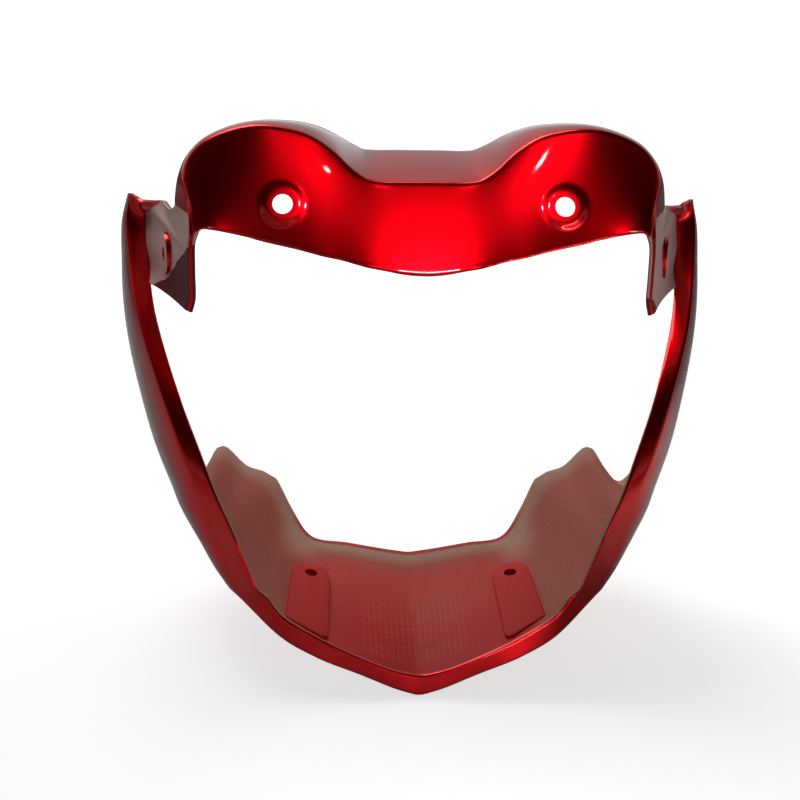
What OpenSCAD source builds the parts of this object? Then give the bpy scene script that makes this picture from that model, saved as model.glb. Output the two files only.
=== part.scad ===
// Headlight cowl for a small motorbike, moulded in one piece, millimetres, +Z up, front toward -Y.
// Two swept shells make it: the chin bowl with its two side arms, and the visor with its two ears.
// Every row of guide points is one section of the right half; the left half is its mirror image.

/* [Cowl] */
// Width over the two arms
cowl_width = 323; // [300:1:345]
// Depth from the chin's front to the rear edges of the arms
cowl_depth = 170; // [158:1:182]
// Height from the chin's ridge to the top of the humps
cowl_height = 280; // [262:1:286]

/* [Shell] */
// Wall of the chin bowl and arms
wall = 2.5; // [2:0.1:3]
// Wall of the visor and ears
visor_wall = 2.2; // [1.8:0.1:2.4]
// Outer radius of the ridge round the chin and arms
ridge_r = 1.5; // [0.8:0.1:2]
// Outer radius of the fold between the visor and its roof
fold_r = 3; // [1.5:0.1:3.5]
// Spacing of the sections along the chin and arms
arm_step = 8; // [7:0.5:14]
// Spacing of the sections along the visor and ears
visor_step = 7; // [6:0.5:12]

/* [Visor screw seats] */
// Hole for the screen grommet
visor_hole_r = 5.1; // [3:0.1:6]
// Flat top of the raised seat
visor_seat_r = 8.5; // [7:0.1:9.5]
// Foot of the seat on the visor face
visor_foot_r = 12; // [11:0.1:13]
// Height of the seat top over the visor face
visor_seat_rise = 1.4; // [1:0.1:2]
// Upward tilt of the seat axis
visor_seat_tilt = 23; // [10:1:35]
// Seat centre from the middle plane
visor_seat_x = 71; // [66:0.5:76]

/* [Ear bosses] */
// Hole for the side screw
ear_hole_r = 3.6; // [2:0.1:5]
// Flat face of the boss
ear_boss_r = 11; // [8:0.1:12]
// Forward turn of the boss face
ear_boss_turn = 13; // [9:1:16]

/* [Chin pads] */
// Hole in each pad
pad_hole_r = 3.4; // [2:0.1:5]
// Radius of the round end of the pad
pad_r = 10.5; // [8:0.1:12]
// Upward slope of the pads toward the rear
pad_slope = 6.5; // [6:0.5:9]

/* [Hidden] */
$fn = 48;

// Width, depth and height that the guide points are drawn for
drawn = [323, 170, 280];
// Middle of the bounding box in the guide points' own frame
centre = [0, 49.15, -87.96];

// Centre of the visor seat's foot in depth and height
visor_seat_y = 27;
visor_seat_z = 14.8;
// How much wider the seat gets for each millimetre down its side
seat_flare = (visor_foot_r - visor_seat_r) / visor_seat_rise;
// How far the seat's side runs on into the curved face, and its hollow out of the back of the wall
seat_root = 0.8;
// Centre of the ear boss face
ear_boss_centre = [133.8, 67, -22.2];
// How far the boss runs inward from its face
ear_boss_depth = 4.2;
// Centre of the hole on the pad face, and how the pad lies on the sloping floor
pad_hole_centre = [55.2, 49.5, -198.7];
pad_lean = -12;
// Depth of the pad below its face at the rear and at the front, where the floor comes up
pad_rear_depth = 5.2;
pad_front_depth = 2.2;
// Straight sides of the pad, measured forward from the hole
pad_inner_len = 60;
pad_outer_len = 47;
// How much wider the pad gets on its outer side
pad_flare = 2.5;
// Rounding of the front corner on the inner side
pad_corner_r = 3;

// Corners of the two wedges under the arm cap
web_top = [[135.6, 92, 0.2], [147.8, 104.2, -3.8], [148.5, 112.5, -4.2], [145.8, 110, -4]];
web_base = [[136.3, 92, -2], [143, 102, -7.5], [147.6, 105.2, -10], [148.5, 112.5, -9.5], [146, 109.5, -9]];
cap_top = [
    [147.2, 104.6, -4.3], [154.8, 112.5, -1.6], [156.6, 127, -4.6], [150.8, 118.5, -4], [147, 111, -4.4]
];
cap_base = [
    [147.4, 106, -8], [155.3, 114, -6], [157.2, 126.5, -10.5], [151, 118.5, -9.5], [147.5, 111.5, -8]
];

// Share of a flank kept free of the inner corner
clear_share = 0.5;
// Longest free length beside the inner corner
clear_max = 4;
// Largest share of that free length that the fold radius may take
fold_share = 0.8;
// Where the fold's middle point sits between the ridge line and the two flanks
fold_middle = 0.25;
// Latest start of the skin behind the fold, as a share of its length
skin_start_max = 0.3;
// Rounding of the inner corner: how far its points run along and between the flanks
corner_run = 0.35;
corner_blend = 0.1;

// Chin rows: distance along the ring, rim edge, ridge, two skin handles, rear edge
chin_rows = [
    [0, [0, -34, -218], [0, -36, -228], [0, 2, -224], [0, 45, -214], [0, 80, -202.5]],
    [8, [7.5, -34, -216.8], [7, -35.8, -226.4], [7, 3, -223], [7, 46, -213.5], [7.5, 81, -202]],
    [32, [31.8, -32, -208.3], [31, -33, -217.5], [33, 6, -216.5], [34, 50, -210.5], [34, 87, -200]],
    [55, [53, -28, -199], [54, -29.5, -209], [56, 10, -210.5], [58, 54, -207], [55.5, 92, -198]],
    [76, [72, -23.5, -188.5], [74, -22, -199], [82, 14, -202], [82, 62, -200], [67, 102, -185.5]],
    [90, [79, -20.5, -180.3], [90, -11.5, -186.5], [101, 16, -191], [97, 70, -188], [76, 112, -170.5]],
];

// Arm rows: distance along the ring, rim edge, ridge, two skin handles, rear edge
arm_rows = [
    [92, [84, -19, -176.7], [92.8, -9.5, -183], [110, 7, -185], [100.5, 66, -182], [83, 115.5, -167.5]],
    [98, [87, -17.8, -170], [96, -8.5, -175.5], [118, 8, -177], [107, 68, -175], [94, 118, -164.5]],
    [104, [89.5, -16.5, -164], [98.8, -7.5, -168], [123, 10, -170], [112.5, 68, -169], [105, 121, -154.5]],
    [108, [91, -15.8, -160.5], [100.5, -6.7, -164], [125, 11, -166], [115, 68, -166.5], [108, 119.5, -154.5]],
    [112, [92.3, -15, -157], [101.8, -6, -160], [127, 12, -162.5], [118, 67, -164.5], [110.5, 116, -158.5]],
    [120, [94.5, -14, -151.5], [104.3, -4.5, -153], [129.5, 14, -156], [123, 63, -162], [116.3, 109, -166.5]],
    [132, [99, -10.5, -142], [109, -2, -142.5], [132, 16, -146], [128, 58, -156], [124, 101, -167.5]],
    [144, [104.4, -6, -131.3], [113.5, 1, -131.5], [132.5, 18, -136], [132, 54, -148], [131, 95, -157]],
    [170, [114.3, 8, -109.4], [123, 11, -110.6], [138, 29, -116], [142, 57, -128], [140, 90, -132]],
    [200, [124.1, 26, -88.5], [132.1, 26, -88.5], [144, 42, -94], [148.5, 66, -104], [149, 94, -110]],
    [238, [136.7, 60, -61.2], [145, 56, -59.9], [153, 69, -63], [156.5, 84, -71], [157, 104, -80]],
    [262, [140.9, 75, -49], [149.8, 73, -45.6], [156, 82, -48], [159.3, 97, -55], [160, 113, -61]],
    [286, [143.9, 92, -34.1], [153.7, 91, -30.6], [157.7, 98, -32], [160.5, 109, -36], [161, 121, -41]],
    [310, [147, 110, -13], [156.3, 108, -12.3], [158.7, 114, -13.5], [160.5, 121, -16], [161, 131, -20]],
    [324, [147.6, 105, -4.5], [155.2, 112.5, -0.8], [156.3, 119, -2.5], [157.5, 126, -4.5], [158, 134, -7]],
];

// Visor rows: distance along the ring, lower edge, fold, two roof handles, rear edge
visor_rows = [
    [0, [0, 8, -15.6], [0, 31, 25.6], [0, 49, 28], [0, 67.5, 30], [0, 86, 30.5]],
    [12, [10, 8.2, -15], [12, 31, 25.6], [12, 49, 28], [12, 67.5, 30], [12, 86, 30.5]],
    [24, [21, 9, -13], [23.5, 31, 25.8], [23.5, 49, 28.5], [23.5, 67.5, 30], [23.6, 86, 30.4]],
    [31, [28, 9.8, -11.8], [29.5, 32, 27], [29.5, 50, 29.5], [29.5, 68, 31], [29.5, 86, 31]],
    [37, [33, 11, -11], [35.5, 35, 30.5], [35.5, 51.5, 33], [35.5, 68, 34.5], [35.3, 84.5, 34]],
    [48, [42, 13.5, -9.4], [45.5, 39, 39], [45.5, 53, 41.5], [45.5, 67, 42], [45.3, 81, 40.3]],
    [60, [52, 15.5, -7.7], [57, 41, 46.2], [57, 52.5, 48], [56.5, 63.5, 48], [56.5, 75, 45.8]],
    [73, [65, 18.5, -5.2], [70.5, 41.5, 50], [70.5, 50.5, 51.5], [70, 59, 51], [70, 68, 49]],
    [86, [78, 21, -3], [84.3, 41, 51.2], [84.5, 47.5, 52.5], [84.5, 54, 52], [84.5, 60.5, 50]],
    [100, [91, 22.5, 0], [98.5, 41, 48.5], [99.5, 45.5, 49], [100, 50, 49], [99.6, 54.5, 47.8]],
    [114, [101, 22.5, 2.4], [112, 41.5, 41.2], [113, 44.5, 41.5], [114, 47.5, 41.5], [113.8, 50.5, 40.6]],
    [124, [107.4, 22, 3.8], [118.5, 41, 32.7], [120, 43.5, 33], [120.5, 46, 32.5], [121, 48.5, 32.1]],
    [132, [110.5, 21.5, 4.2], [121, 39.5, 24.7], [122.5, 42, 24.5], [123.5, 44.5, 24], [124.2, 47.5, 23.6]],
    [142, [113, 21.2, 3.2], [119.6, 34.8, 14.8], [122, 39.5, 14], [124, 44, 13.5], [126, 48.5, 12.5]],
    [151, [114.5, 20.9, 0.7], [118, 27.5, 5.6], [121, 35, 6], [124, 43, 6.5], [126.7, 50.5, 7]],
];

// Ear rows: distance along the ring, front lip, lip corner, two skin handles, edge inside the arm wall
ear_rows = [
    [154, [115.1, 20.9, -1.2], [117.9, 24.2, 2], [121.5, 35, 2.5], [125, 47, 3.5], [128.5, 58, 4]],
    [158, [115.5, 20.9, -3.2], [118, 23, -1.2], [122.5, 38, -1], [127.5, 54, 0.5], [131, 68, 1.8]],
    [163, [115.7, 20.9, -5.2], [118.1, 22.5, -4], [124.5, 43, -4], [131, 68, -2.5], [134.2, 84, 0.7]],
    [168, [115.8, 20.9, -7], [118.2, 22.3, -6.3], [125.5, 46, -6.5], [133, 77, -6], [136.5, 93, 0]],
    [174, [115.9, 20.9, -9.5], [118.2, 22.3, -9.2], [127, 49, -8.5], [137.5, 90, -7], [146.5, 109.5, -4.6]],
    [181, [115.9, 20.9, -12.5], [118.2, 22.3, -12.3], [128.5, 55, -13], [143, 120, -12], [157.4, 126.5, -9]],
    [192, [115.9, 20.9, -22], [118.2, 22.3, -22], [129, 57, -23], [143.5, 109, -26], [159.7, 121, -28.5]],
    [205, [116, 20.9, -34], [118.3, 22.3, -34], [128.5, 54, -35.5], [141, 100, -37.5], [159.6, 114, -39.5]],
    [
        213,
        [117.6, 22.2, -40.5], [120, 23.6, -39.8], [128.5, 53.5, -42.5], [140.5, 85, -42.5], [158.9, 105, -43.5]
    ],
];

// A drawn point, moved to where it lies on a cowl of the size asked for
stretch = [cowl_width / drawn[0], cowl_depth / drawn[1], cowl_height / drawn[2]];
function fitted(p) = [p[0] * stretch[0], p[1] * stretch[1], p[2] * stretch[2]];
function all_fitted(sections) = [for (s = sections) [for (p = s) fitted(p)]];

function lerp(a, b, t) = a + (b - a) * t;
function mirrored(p) = [-p[0], p[1], p[2]];
function unit(v) = v / norm(v);

// Slope of guide k at row i, from its neighbours' spacing
function slope(rows, i, k) =
    i == len(rows) - 1 ? (rows[i][k] - rows[i - 1][k]) / (rows[i][0] - rows[i - 1][0])
    : i == 0 ? (rows[1][k] - rows[0][k]) / (rows[1][0] - rows[0][0])
    : let (h0 = rows[i][0] - rows[i - 1][0], h1 = rows[i + 1][0] - rows[i][0])
      ((rows[i + 1][k] - rows[i][k]) / h1 * h0 + (rows[i][k] - rows[i - 1][k]) / h0 * h1) / (h0 + h1);

// Slope at the first row, where a row on the middle plane meets its mirror image
function start_slope(rows, k) = rows[0][1][0] == 0 ? [slope(rows, 0, k)[0], 0, 0] : slope(rows, 0, k);

function hermite(p0, p1, m0, m1, t) =
    (2 * t ^ 3 - 3 * t ^ 2 + 1) * p0 + (t ^ 3 - 2 * t ^ 2 + t) * m0
    + (3 * t ^ 2 - 2 * t ^ 3) * p1 + (t ^ 3 - t ^ 2) * m1;

// Sections between the rows, each one the five guide points at that place along the ring
function sections(rows, step) = [
    for (i = [0 : len(rows) - 2])
        let (h = rows[i + 1][0] - rows[i][0], n = ceil(h / step), last = i == len(rows) - 2 ? n : n - 1)
            for (s = [0 : last])
                [for (k = [1 : 5])
                    hermite(
                        rows[i][k], rows[i + 1][k],
                        h * (i == 0 ? start_slope(rows, k) : slope(rows, i, k)), h * slope(rows, i + 1, k),
                        s / n
                    )]
];

function bezier(p, t) =
    (1 - t) ^ 3 * p[0] + 3 * (1 - t) ^ 2 * t * p[1] + 3 * (1 - t) * t ^ 2 * p[2] + t ^ 3 * p[3];

// Free length on each side of the fold
function face_clear(s) = min(clear_max, clear_share * norm(s[1] - s[0]));
function skin_clear(s) = min(clear_max, clear_share * norm(s[4] - s[1]));

// Outer outline of a section: face, three points round the fold, skin
function outline(s, r, n_face, n_skin) =
    let (
        to_face = unit(s[0] - s[1]),
        to_skin = unit(s[2] - s[1]),
        near = s[1] + face_clear(s) * to_face,
        rr = min(r, fold_share * face_clear(s), fold_share * skin_clear(s)),
        t1 = min(skin_start_max, skin_clear(s) / (3 * norm(s[2] - s[1]))),
        skin = [s[1], s[2], s[3], s[4]]
    )
    concat(
        [for (j = [0 : n_face]) lerp(s[0], near, j / n_face)],
        [s[1] + rr * to_face, s[1] + fold_middle * rr * (to_face + to_skin), s[1] + rr * to_skin],
        [for (j = [0 : n_skin]) bezier(skin, lerp(t1, 1, j / n_skin))]
    );

// Inner outline: the outer one moved in by the wall, with the two flanks meeting in a corner
function inner_point(grid, secs, side, t, n_face, i, j) =
    let (f0 = n_face, s0 = n_face + 4)
    j <= f0 || j >= s0 ? grid[i][j] - t * normal_at(grid, side, i, j)
    : let (
        s = secs[i],
        nf = normal_at(grid, side, i, f0),
        ns = normal_at(grid, side, i, s0),
        corner = s[1] - t * (nf + ns) / (1 + nf * ns),
        a = grid[i][f0] - t * nf,
        b = grid[i][s0] - t * ns
    )
    j == f0 + 1 ? lerp(corner, a, corner_run)
    : j == f0 + 2 ? corner + corner_blend * (a + b - 2 * corner)
    : lerp(corner, b, corner_run);

function patch_normal(grid, i, j) = cross(grid[i + 1][j + 1] - grid[i][j], grid[i][j + 1] - grid[i + 1][j]);

function total(v, k = 0) = k == len(v) - 1 ? v[k] : v[k] + total(v, k + 1);

// Outward normal at a grid point, the mean of the patches round it
function normal_at(grid, side, i, j) =
    let (n = len(grid) - 1, m = len(grid[0]) - 1)
    side * unit(total([
        for (a = [max(i - 1, 0) : min(i, n - 1)]) for (b = [max(j - 1, 0) : min(j, m - 1)])
            patch_normal(grid, a, b)
    ]));

// Closed shell over the sections of the right half and their mirror images
module shell(half, side, t, r, n_face, n_skin) {
    n_half = len(half) - 1;
    secs = concat([for (i = [n_half : -1 : 1]) [for (p = half[i]) mirrored(p)]], half);
    n = len(secs) - 1;
    m = n_face + n_skin + 4;
    outer = [for (s = secs) outline(s, r, n_face, n_skin)];
    inner = [for (i = [0 : n]) [for (j = [0 : m]) inner_point(outer, secs, side, t, n_face, i, j)]];
    points = concat([for (row = outer) each row], [for (row = inner) each row]);
    skin_faces = [
        for (i = [0 : n - 1]) for (j = [0 : m - 1])
            each quad(id(i, j, m), id(i + 1, j, m), id(i + 1, j + 1, m), id(i, j + 1, m), i < n_half)
    ];
    count = (n + 1) * (m + 1);
    inner_faces = [for (f = skin_faces) [f[2] + count, f[1] + count, f[0] + count]];
    rim = [
        for (i = [0 : n - 1])
            each quad(id(i, 0, m) + count, id(i + 1, 0, m) + count, id(i + 1, 0, m), id(i, 0, m), i < n_half)
    ];
    rear = [
        for (i = [0 : n - 1])
            each quad(id(i, m, m), id(i + 1, m, m), id(i + 1, m, m) + count, id(i, m, m) + count, i < n_half)
    ];
    ends = [
        for (j = [0 : m - 1]) each concat(
            quad(id(0, j, m), id(0, j + 1, m), id(0, j + 1, m) + count, id(0, j, m) + count, true),
            quad(id(n, j + 1, m), id(n, j, m), id(n, j, m) + count, id(n, j + 1, m) + count, true)
        )
    ];
    all_faces = concat(skin_faces, inner_faces, rim, rear, ends);
    polyhedron(points, side > 0 ? [for (f = all_faces) [f[2], f[1], f[0]]] : all_faces);
}

function id(i, j, m) = i * (m + 1) + j;

// Two triangles of a four-cornered patch; the diagonal is swapped on the mirrored half
function quad(a, b, c, d, swap) = swap ? [[a, b, d], [b, c, d]] : [[a, b, c], [a, c, d]];

// A child and its mirror image across the middle plane
module both_sides() {
    children();
    mirror([1, 0, 0]) children();
}

module chin_and_arms() {
    half = all_fitted(concat(sections(chin_rows, arm_step), sections(arm_rows, arm_step)));
    shell(half, -1, wall, ridge_r, 2, 7);
}

module visor_and_ears() {
    half = all_fitted(sections(concat(visor_rows, ear_rows), visor_step));
    shell(half, 1, visor_wall, fold_r, 5, 5);
}

// Cap over the gap between arm and ear: a wedge beside the ear, then the closed end of the arm
module arm_cap() {
    hull() polyhedron([for (p = concat(web_top, web_base)) fitted(p)], [[0, 1, 2, 3], [4, 5, 6, 7, 8]]);
    hull() polyhedron([for (p = concat(cap_top, cap_base)) fitted(p)], [[0, 1, 2, 3, 4], [5, 6, 7, 8, 9]]);
}

module at_visor_seat() {
    translate(fitted([visor_seat_x, visor_seat_y, visor_seat_z]))
        rotate([90 - visor_seat_tilt, 0, 0]) children();
}

// Low cone with a flat top, going down from the given height; the seat's outside and its hollow are both one
module seat_cone(top) {
    h = visor_seat_rise + seat_root;
    at_visor_seat() translate([0, 0, top - h])
        cylinder(h = h, r1 = visor_seat_r + seat_flare * h, r2 = visor_seat_r);
}

// Hollow behind the raised seat, which leaves one wall, and the screw hole
module visor_seat_cut() {
    seat_cone(visor_seat_rise - visor_wall);
    at_visor_seat() translate([0, 0, -3 * visor_wall]) cylinder(h = 6 * visor_wall, r = visor_hole_r);
}

module at_ear_boss() {
    translate(fitted(ear_boss_centre)) rotate([0, 0, -ear_boss_turn]) rotate([0, 90, 0]) children();
}

module ear_boss() {
    at_ear_boss() translate([0, 0, -ear_boss_depth]) cylinder(h = ear_boss_depth, r = ear_boss_r);
}

module ear_boss_hole() {
    at_ear_boss() translate([0, 0, -2 * ear_boss_depth]) cylinder(h = 3 * ear_boss_depth, r = ear_hole_r);
}

module at_pad() {
    translate(fitted(pad_hole_centre)) rotate([pad_slope, pad_lean, 0]) children();
}

// Raised pad: round rear end, straight sides, front edge cut parallel to the rim
module pad() {
    at_pad() intersection() {
        translate([0, 0, -pad_rear_depth]) linear_extrude(pad_rear_depth) {
            circle(r = pad_r);
            polygon([
                [-pad_r, 0], [pad_r, 0], [pad_r + pad_flare, -pad_outer_len],
                [pad_corner_r - pad_r, -pad_inner_len], [-pad_r, pad_corner_r - pad_inner_len]
            ]);
            translate([pad_corner_r - pad_r, pad_corner_r - pad_inner_len]) circle(r = pad_corner_r);
        }
        translate([-2 * pad_r, 0, 0]) rotate([90, 0, 90]) linear_extrude(4 * pad_r)
            polygon([
                [pad_r, 1], [pad_r, -pad_rear_depth], [-pad_inner_len, -pad_front_depth], [-pad_inner_len, 1]
            ]);
    }
}

module pad_hole() {
    at_pad() translate([0, 0, -3 * pad_rear_depth]) cylinder(h = 5 * pad_rear_depth, r = pad_hole_r);
}

module cowl() color([0.55, 0.02, 0.03]) translate(-fitted(centre)) difference() {
    union() {
        chin_and_arms();
        visor_and_ears();
        both_sides() {
            arm_cap();
            seat_cone(visor_seat_rise);
            ear_boss();
            pad();
        }
    }
    both_sides() {
        visor_seat_cut();
        ear_boss_hole();
        pad_hole();
    }
}

cowl();
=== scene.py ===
"""Looks of a one-piece moulded headlight cowl: candy red paint outside, dull overspray inside.

Two lofted walls make the cowl: the chin bowl with its side arms, and the visor with its ears. Their rows of
guide points are those of the cowl's construction, in millimetres. Every piece stands in the frame, in metres.
"""

import logging
import math
from dataclasses import dataclass, field
from enum import Enum

import bmesh
import bpy
import numpy as np
from mathutils import Matrix, Vector
from mathutils.kdtree import KDTree


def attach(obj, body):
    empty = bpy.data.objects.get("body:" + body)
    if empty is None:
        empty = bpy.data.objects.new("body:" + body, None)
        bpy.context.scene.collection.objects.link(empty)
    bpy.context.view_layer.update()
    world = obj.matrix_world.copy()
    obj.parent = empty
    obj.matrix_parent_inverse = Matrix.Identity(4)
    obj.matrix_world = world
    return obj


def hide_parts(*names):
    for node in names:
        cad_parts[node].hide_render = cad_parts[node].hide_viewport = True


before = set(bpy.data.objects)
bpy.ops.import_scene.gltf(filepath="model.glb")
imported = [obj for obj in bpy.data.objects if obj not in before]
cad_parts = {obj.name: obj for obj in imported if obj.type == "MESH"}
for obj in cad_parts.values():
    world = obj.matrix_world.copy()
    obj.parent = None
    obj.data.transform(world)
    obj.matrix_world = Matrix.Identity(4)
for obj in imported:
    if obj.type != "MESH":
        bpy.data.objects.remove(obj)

log = logging.getLogger("cowl")

Point = tuple[float, float, float]
Span = tuple[float, float]
Colour = tuple[float, float, float, float]
Row = tuple[float, list[list[float]]]

MM = 0.001
NODE = "cowl"
BODY = "root"
# Middle of the cowl's box, in the guide points' own frame
GUIDE_CENTRE = np.array([0.0, 49.15, -87.96])
MERGE_DISTANCE = 1e-6
# Points nearer the middle plane than this, in millimetres, lie on it
ON_MIDDLE = 1e-9
# Shorter vectors are taken to have no direction
NO_LENGTH = 1e-12

# Chin rows: distance along the ring, then rim edge, ridge, two skin handles and rear edge
CHIN_ROWS: list[Row] = [
    (0, [[0, -34, -218], [0, -36, -228], [0, 2, -224], [0, 45, -214], [0, 80, -202.5]]),
    (8, [[7.5, -34, -216.8], [7, -35.8, -226.4], [7, 3, -223], [7, 46, -213.5], [7.5, 81, -202]]),
    (32, [[31.8, -32, -208.3], [31, -33, -217.5], [33, 6, -216.5], [34, 50, -210.5], [34, 87, -200]]),
    (55, [[53, -28, -199], [54, -29.5, -209], [56, 10, -210.5], [58, 54, -207], [55.5, 92, -198]]),
    (76, [[72, -23.5, -188.5], [74, -22, -199], [82, 14, -202], [82, 62, -200], [67, 102, -185.5]]),
    (90, [[79, -20.5, -180.3], [90, -11.5, -186.5], [101, 16, -191], [97, 70, -188], [76, 112, -170.5]]),
]
# Arm rows, in the same order
ARM_ROWS: list[Row] = [
    (92, [[84, -19, -176.7], [92.8, -9.5, -183], [110, 7, -185], [100.5, 66, -182], [83, 115.5, -167.5]]),
    (98, [[87, -17.8, -170], [96, -8.5, -175.5], [118, 8, -177], [107, 68, -175], [94, 118, -164.5]]),
    (104, [[89.5, -16.5, -164], [98.8, -7.5, -168], [123, 10, -170], [112.5, 68, -169], [105, 121, -154.5]]),
    (108, [[91, -15.8, -160.5], [100.5, -6.7, -164], [125, 11, -166],
           [115, 68, -166.5], [108, 119.5, -154.5]]),
    (112, [[92.3, -15, -157], [101.8, -6, -160], [127, 12, -162.5], [118, 67, -164.5], [110.5, 116, -158.5]]),
    (120, [[94.5, -14, -151.5], [104.3, -4.5, -153], [129.5, 14, -156],
           [123, 63, -162], [116.3, 109, -166.5]]),
    (132, [[99, -10.5, -142], [109, -2, -142.5], [132, 16, -146], [128, 58, -156], [124, 101, -167.5]]),
    (144, [[104.4, -6, -131.3], [113.5, 1, -131.5], [132.5, 18, -136], [132, 54, -148], [131, 95, -157]]),
    (170, [[114.3, 8, -109.4], [123, 11, -110.6], [138, 29, -116], [142, 57, -128], [140, 90, -132]]),
    (200, [[124.1, 26, -88.5], [132.1, 26, -88.5], [144, 42, -94], [148.5, 66, -104], [149, 94, -110]]),
    (238, [[136.7, 60, -61.2], [145, 56, -59.9], [153, 69, -63], [156.5, 84, -71], [157, 104, -80]]),
    (262, [[140.9, 75, -49], [149.8, 73, -45.6], [156, 82, -48], [159.3, 97, -55], [160, 113, -61]]),
    (286, [[143.9, 92, -34.1], [153.7, 91, -30.6], [157.7, 98, -32], [160.5, 109, -36], [161, 121, -41]]),
    (310, [[147, 110, -13], [156.3, 108, -12.3], [158.7, 114, -13.5], [160.5, 121, -16], [161, 131, -20]]),
    (324, [[147.6, 105, -4.5], [155.2, 112.5, -0.8], [156.3, 119, -2.5], [157.5, 126, -4.5], [158, 134, -7]]),
]
# Visor rows: distance along the ring, then lower edge, fold, two roof handles and rear edge
VISOR_ROWS: list[Row] = [
    (0, [[0, 8, -15.6], [0, 31, 25.6], [0, 49, 28], [0, 67.5, 30], [0, 86, 30.5]]),
    (12, [[10, 8.2, -15], [12, 31, 25.6], [12, 49, 28], [12, 67.5, 30], [12, 86, 30.5]]),
    (24, [[21, 9, -13], [23.5, 31, 25.8], [23.5, 49, 28.5], [23.5, 67.5, 30], [23.6, 86, 30.4]]),
    (31, [[28, 9.8, -11.8], [29.5, 32, 27], [29.5, 50, 29.5], [29.5, 68, 31], [29.5, 86, 31]]),
    (37, [[33, 11, -11], [35.5, 35, 30.5], [35.5, 51.5, 33], [35.5, 68, 34.5], [35.3, 84.5, 34]]),
    (48, [[42, 13.5, -9.4], [45.5, 39, 39], [45.5, 53, 41.5], [45.5, 67, 42], [45.3, 81, 40.3]]),
    (60, [[52, 15.5, -7.7], [57, 41, 46.2], [57, 52.5, 48], [56.5, 63.5, 48], [56.5, 75, 45.8]]),
    (73, [[65, 18.5, -5.2], [70.5, 41.5, 50], [70.5, 50.5, 51.5], [70, 59, 51], [70, 68, 49]]),
    (86, [[78, 21, -3], [84.3, 41, 51.2], [84.5, 47.5, 52.5], [84.5, 54, 52], [84.5, 60.5, 50]]),
    (100, [[91, 22.5, 0], [98.5, 41, 48.5], [99.5, 45.5, 49], [100, 50, 49], [99.6, 54.5, 47.8]]),
    (114, [[101, 22.5, 2.4], [112, 41.5, 41.2], [113, 44.5, 41.5], [114, 47.5, 41.5], [113.8, 50.5, 40.6]]),
    (124, [[107.4, 22, 3.8], [118.5, 41, 32.7], [120, 43.5, 33], [120.5, 46, 32.5], [121, 48.5, 32.1]]),
    (132, [[110.5, 21.5, 4.2], [121, 39.5, 24.7], [122.5, 42, 24.5], [123.5, 44.5, 24], [124.2, 47.5, 23.6]]),
    (142, [[113, 21.2, 3.2], [119.6, 34.8, 14.8], [122, 39.5, 14], [124, 44, 13.5], [126, 48.5, 12.5]]),
    (151, [[114.5, 20.9, 0.7], [118, 27.5, 5.6], [121, 35, 6], [124, 43, 6.5], [126.7, 50.5, 7]]),
]
# Ear rows: distance along the ring, then front lip, lip corner, two skin handles and edge in the arm's wall
EAR_ROWS: list[Row] = [
    (154, [[115.1, 20.9, -1.2], [117.9, 24.2, 2], [121.5, 35, 2.5], [125, 47, 3.5], [128.5, 58, 4]]),
    (158, [[115.5, 20.9, -3.2], [118, 23, -1.2], [122.5, 38, -1], [127.5, 54, 0.5], [131, 68, 1.8]]),
    (163, [[115.7, 20.9, -5.2], [118.1, 22.5, -4], [124.5, 43, -4], [131, 68, -2.5], [134.2, 84, 0.7]]),
    (168, [[115.8, 20.9, -7], [118.2, 22.3, -6.3], [125.5, 46, -6.5], [133, 77, -6], [136.5, 93, 0]]),
    (174, [[115.9, 20.9, -9.5], [118.2, 22.3, -9.2], [127, 49, -8.5], [137.5, 90, -7], [146.5, 109.5, -4.6]]),
    (181, [[115.9, 20.9, -12.5], [118.2, 22.3, -12.3], [128.5, 55, -13],
           [143, 120, -12], [157.4, 126.5, -9]]),
    (192, [[115.9, 20.9, -22], [118.2, 22.3, -22], [129, 57, -23], [143.5, 109, -26], [159.7, 121, -28.5]]),
    (205, [[116, 20.9, -34], [118.3, 22.3, -34], [128.5, 54, -35.5], [141, 100, -37.5], [159.6, 114, -39.5]]),
    (213, [[117.6, 22.2, -40.5], [120, 23.6, -39.8], [128.5, 53.5, -42.5],
           [140.5, 85, -42.5], [158.9, 105, -43.5]]),
]


class Skin(Enum):
    """Material slots of the cowl, in the order they stand on its mesh."""

    PAINT = 0
    OVERSPRAY = 1
    PAD = 2
    EAR = 3


def placed(point: np.ndarray) -> Vector:
    """Turns a guide point in millimetres into a place in the frame.

    Args:
        point: A point in the guide points' own frame.

    Returns:
        The same point in the cowl's frame, in metres.
    """
    return Vector((np.asarray(point, float) - GUIDE_CENTRE) * MM)


def unit(vectors: np.ndarray) -> np.ndarray:
    """Scales vectors along the last axis to length one."""
    return vectors / np.maximum(np.linalg.norm(vectors, axis=-1, keepdims=True), NO_LENGTH)


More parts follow.
